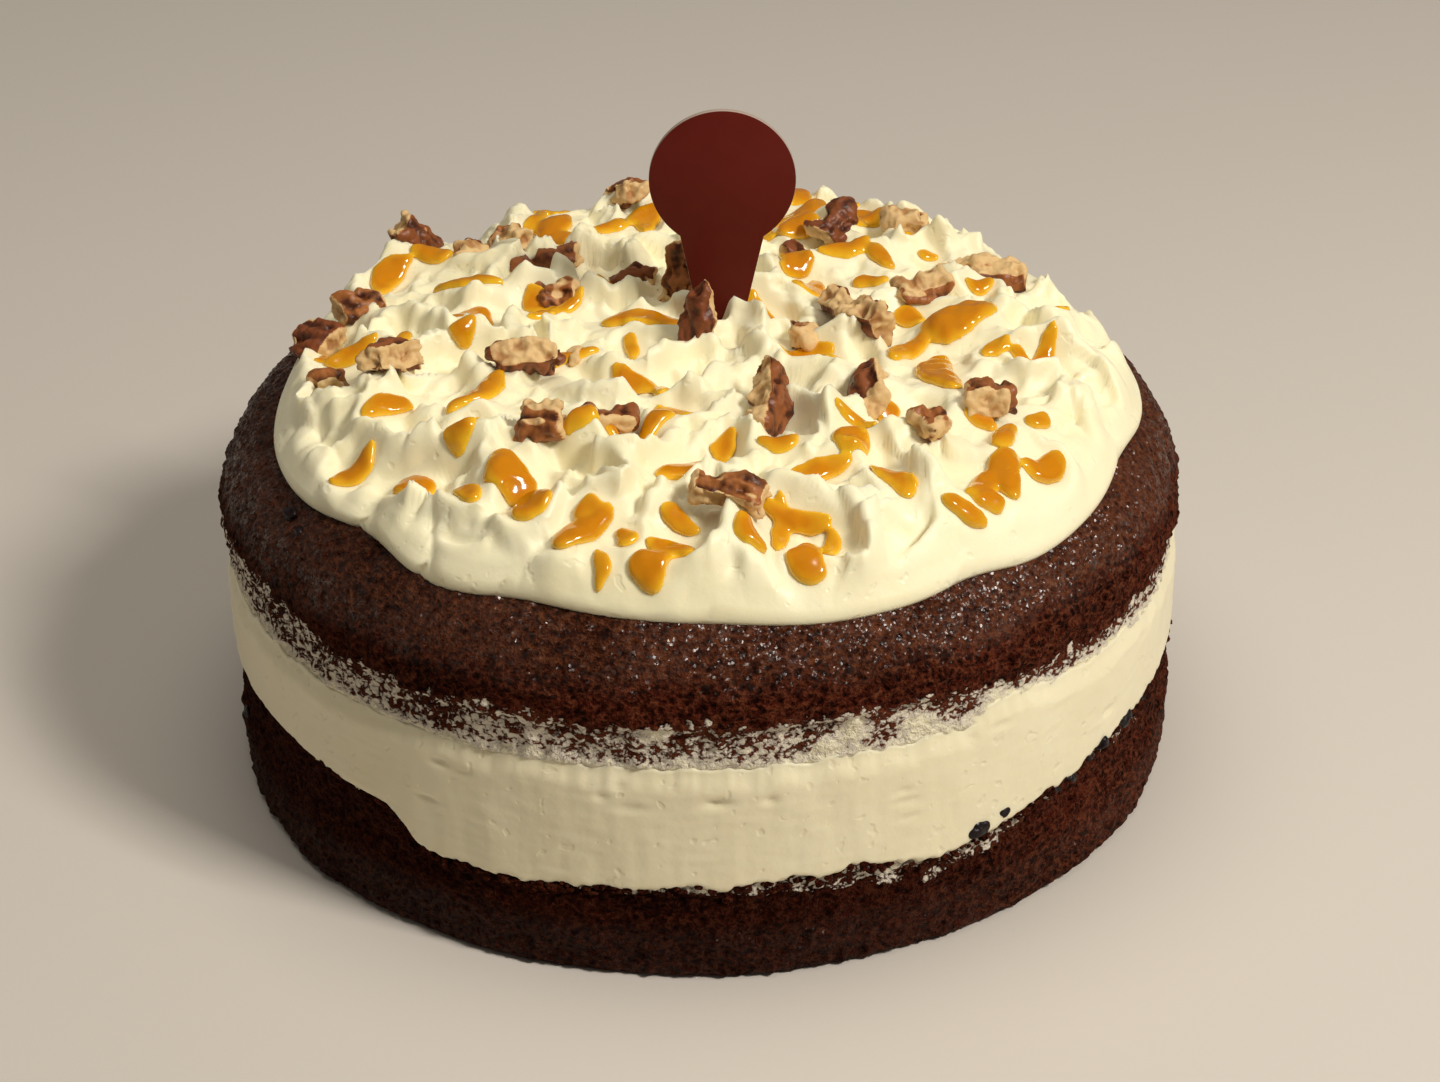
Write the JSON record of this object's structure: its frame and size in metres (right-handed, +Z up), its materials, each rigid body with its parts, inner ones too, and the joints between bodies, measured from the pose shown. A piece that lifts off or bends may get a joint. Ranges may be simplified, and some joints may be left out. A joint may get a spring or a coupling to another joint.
{
  "type": "date cake",
  "caption": "Round two-layer date cake with a wide band of cream filling, swirled cream on top, caramel drizzle, chopped pecans and a plain round topper pick.",
  "frame": {"origin": "middle of the cake's flat base", "axes": "+Z up through the cake, the topper faces -Y"},
  "size_m": [0.2, 0.2, 0.1347],
  "materials": {
    "sponge": "dark baked crumb with a satin crust",
    "cream": "soft ivory, slightly moist",
    "caramel": "glossy amber",
    "pecan": "brown skin and pale cut flesh",
    "topper": "satin burgundy with a pale cut edge"
  },
  "bodies": {
    "root": {"sponge_bottom": "sponge", "cream_filling": "cream", "sponge_top": "sponge", "cream_topping": "cream", "topper": "topper", "pecan_01": "pecan", "pecan_02": "pecan", "pecan_03": "pecan", "pecan_04": "pecan", "pecan_05": "pecan", "pecan_06": "pecan", "pecan_07": "pecan", "pecan_08": "pecan", "pecan_09": "pecan", "pecan_10": "pecan", "pecan_11": "pecan", "pecan_12": "pecan", "pecan_13": "pecan", "pecan_14": "pecan", "pecan_15": "pecan", "pecan_16": "pecan", "pecan_17": "pecan", "pecan_18": "pecan", "pecan_19": "pecan", "pecan_20": "pecan", "pecan_21": "pecan", "pecan_22": "pecan", "pecan_23": "pecan", "pecan_24": "pecan", "pecan_25": "pecan", "pecan_26": "pecan", "pecan_27": "pecan", "pecan_28": "pecan", "pecan_29": "pecan"}
  },
  "joints": []
}
